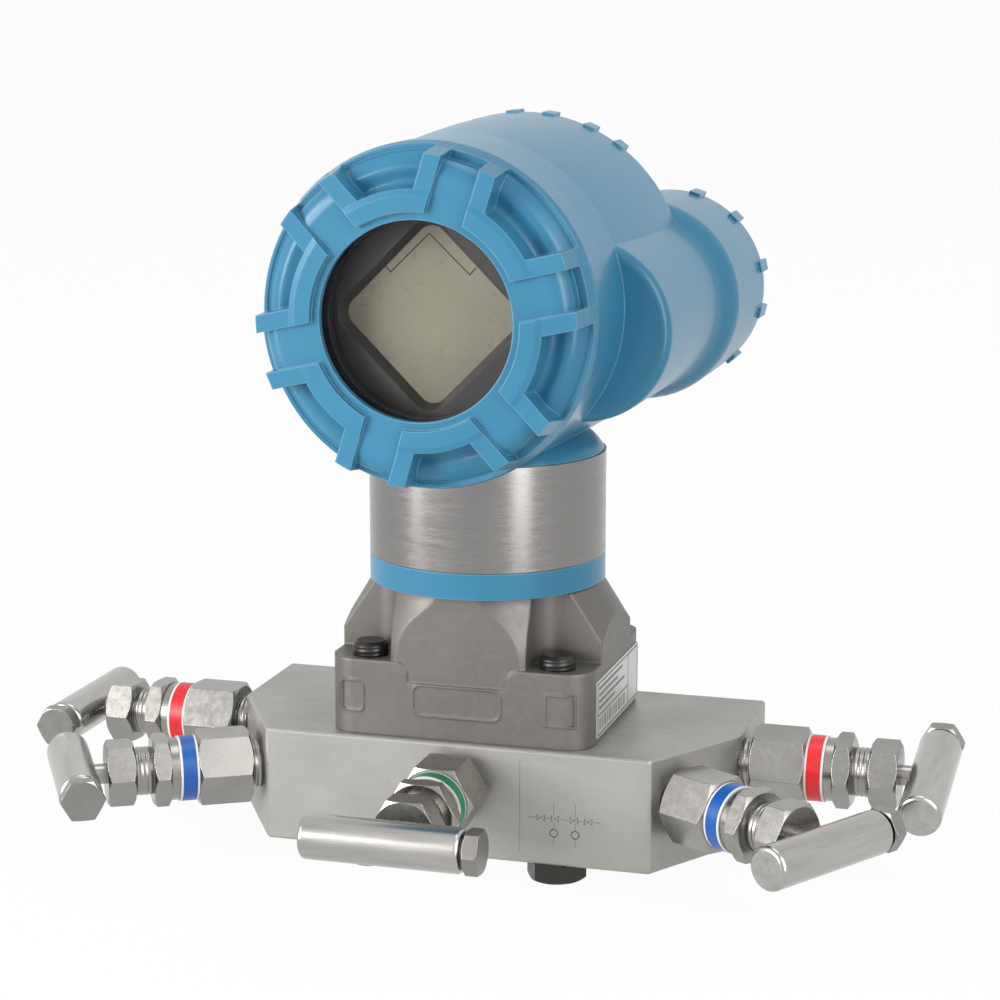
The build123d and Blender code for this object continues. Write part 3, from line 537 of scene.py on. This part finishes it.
# a generic valve diagram, as etched on the block's front, measured from its middle at x and z,
# and one upright line left of it
flowMarks = {"x": 37.5, "z": 16.0, "end": 12.0, "valves": (-8, -3.2, 3.2, 8), "half": (1.2, 0.9),
             "joins": (-5.6, 0, 5.6), "drops": (-3.6, 3.6), "rise": (1.2, 5.5), "fall": (-1.2, -3.4),
             "ring": (-4.9, 1.3), "tail": (-6.4, -9), "upright": [(22.4, 4), (22.4, 35)],
             "width": 0.28 * mm, "depth": 0.02 * mm,
             "look": {"colour": tone(150, 148, 144), "rough": 0.5, "metal": 0.6}}


def ringLine(x, z, radius, sides=20):
    angles = [2 * pi * side / sides for side in range(sides + 1)]
    return [(x + radius * cos(angle), z + radius * sin(angle)) for angle in angles]


def makeFlowMarks():
    x, z = flowMarks["x"], flowMarks["z"]
    wide, tall = flowMarks["half"]
    inner, outer = flowMarks["valves"][-1] + wide, flowMarks["end"]
    lines = [[(x - outer, z), (x - inner, z)], [(x + inner, z), (x + outer, z)], flowMarks["upright"]]
    for place in flowMarks["valves"]:
        left, right = x + place - wide, x + place + wide
        low, high = z - tall, z + tall
        lines.append([(left, low), (right, high), (right, low), (left, high), (left, low)])
    for place in flowMarks["joins"]:
        lines.append([(x + place - wide, z), (x + place + wide, z)])
    for place in flowMarks["drops"]:
        for stretch in ("rise", "fall", "tail"):
            lines.append([(x + place, z + reach) for reach in flowMarks[stretch]])
        level, radius = flowMarks["ring"]
        lines.append(ringLine(x + place, z + level, radius))
    blockFront = Vector((0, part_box("manifold_block")[0].y, 0))
    strokes("flowDiagram", blockFront, xWay, lines, flowMarks["width"], "manifold",
            mottled("etchedGrey", **flowMarks["look"]), flowMarks["depth"])


makeFlowMarks()
print("marks done")

# floor and world, white to the camera and soft to the object
studio = {"floorTone": 0.86, "floorGlow": 0.95, "floorHalf": 90.0, "world": 0.5}


def makeFloor():
    half, low = studio["floorHalf"], cadBounds[0].z
    corners = [(-half, -half, low), (half, -half, low), (half, half, low), (-half, half, low)]
    mesh = bpy.data.meshes.new("floor")
    mesh.from_pydata(corners, [], [(0, 1, 2, 3)])
    floor = bpy.data.objects.new("floor", mesh)
    bpy.context.scene.collection.objects.link(floor)
    made = newFinish("floorPale")
    flat = made.add("ShaderNodeBsdfDiffuse", None, {"Color": shade(white, studio["floorTone"])})
    glow = made.add("ShaderNodeEmission", None, {"Color": white, "Strength": 1.0})
    share = made.seenWhite() * studio["floorGlow"]
    made.add("ShaderNodeOutputMaterial", None,
             {"Surface": made.add("ShaderNodeMixShader", None, {0: share, 1: flat, 2: glow})})
    mesh.materials.append(made.owner)


def makeWorld():
    world = bpy.data.worlds.new("studio")
    made = Finish(world)
    soft = made.add("ShaderNodeBackground", None, {"Color": white, "Strength": studio["world"]})
    back = made.add("ShaderNodeBackground", None, {"Color": white, "Strength": 1.0})
    made.add("ShaderNodeOutputWorld", None,
             {"Surface": made.add("ShaderNodeMixShader", None, {0: made.seenWhite(), 1: soft, 2: back})})
    bpy.context.scene.world = world


# the panels show only as light strips on the steel and the paint
lamps = {
    "keyLamp": {"at": (-0.85, -1.0, 0.42), "aim": (0, 0, 0.1), "size": (0.7, 0.6), "power": 15.0},
    "fillLamp": {"at": (1.2, -0.7, 0.8), "aim": (0, 0, 0.15), "size": (1.0, 1.2), "power": 9.0},
    "topLamp": {"at": (0.1, 0.1, 1.6), "aim": (0, 0, 0.12), "size": (0.9, 0.6), "power": 4.0},
}
panels = {
    "leftPanel": {"at": (-0.48, -0.36, 0.26), "aim": (0, 0, 0.2), "size": (0.13, 0.5), "power": 1.0},
    "rightPanel": {"at": (0.42, -0.38, 0.26), "aim": (0, 0, 0.2), "size": (0.17, 0.5), "power": 1.5},
}


def makeLamps():
    for name, lamp in (lamps | panels).items():
        data = bpy.data.lights.new(name, "AREA")
        data.shape = "RECTANGLE"
        data.size, data.size_y = lamp["size"]
        data.energy = lamp["power"]
        piece = bpy.data.objects.new(name, data)
        piece.location = lamp["at"]
        facing = Vector(lamp["aim"]) - Vector(lamp["at"])
        piece.rotation_euler = facing.to_track_quat("-Z", "Y").to_euler()
        piece.visible_camera = False
        piece.visible_diffuse = name in lamps
        bpy.context.scene.collection.objects.link(piece)


# the photograph's viewing angle: metres, degrees and millimetres
camera = {"at": (0.25426, -0.83925, 0.29246), "tilt": 78.3807, "turn": 16.5906, "lens": 96.328,
          "sensor": 36.0, "near": 0.01}


def makeCamera():
    data = bpy.data.cameras.new("camera")
    data.sensor_fit = "HORIZONTAL"
    data.sensor_width = camera["sensor"]
    data.lens = camera["lens"]
    data.clip_start = camera["near"]
    piece = bpy.data.objects.new("camera", data)
    piece.location = camera["at"]
    piece.rotation_euler = (radians(camera["tilt"]), 0, radians(camera["turn"]))
    bpy.context.scene.collection.objects.link(piece)
    bpy.context.scene.camera = piece


makeFloor()
makeWorld()
makeLamps()
makeCamera()
bpy.context.scene.view_settings.view_transform = "Standard"
print("stage, lamps and camera done")
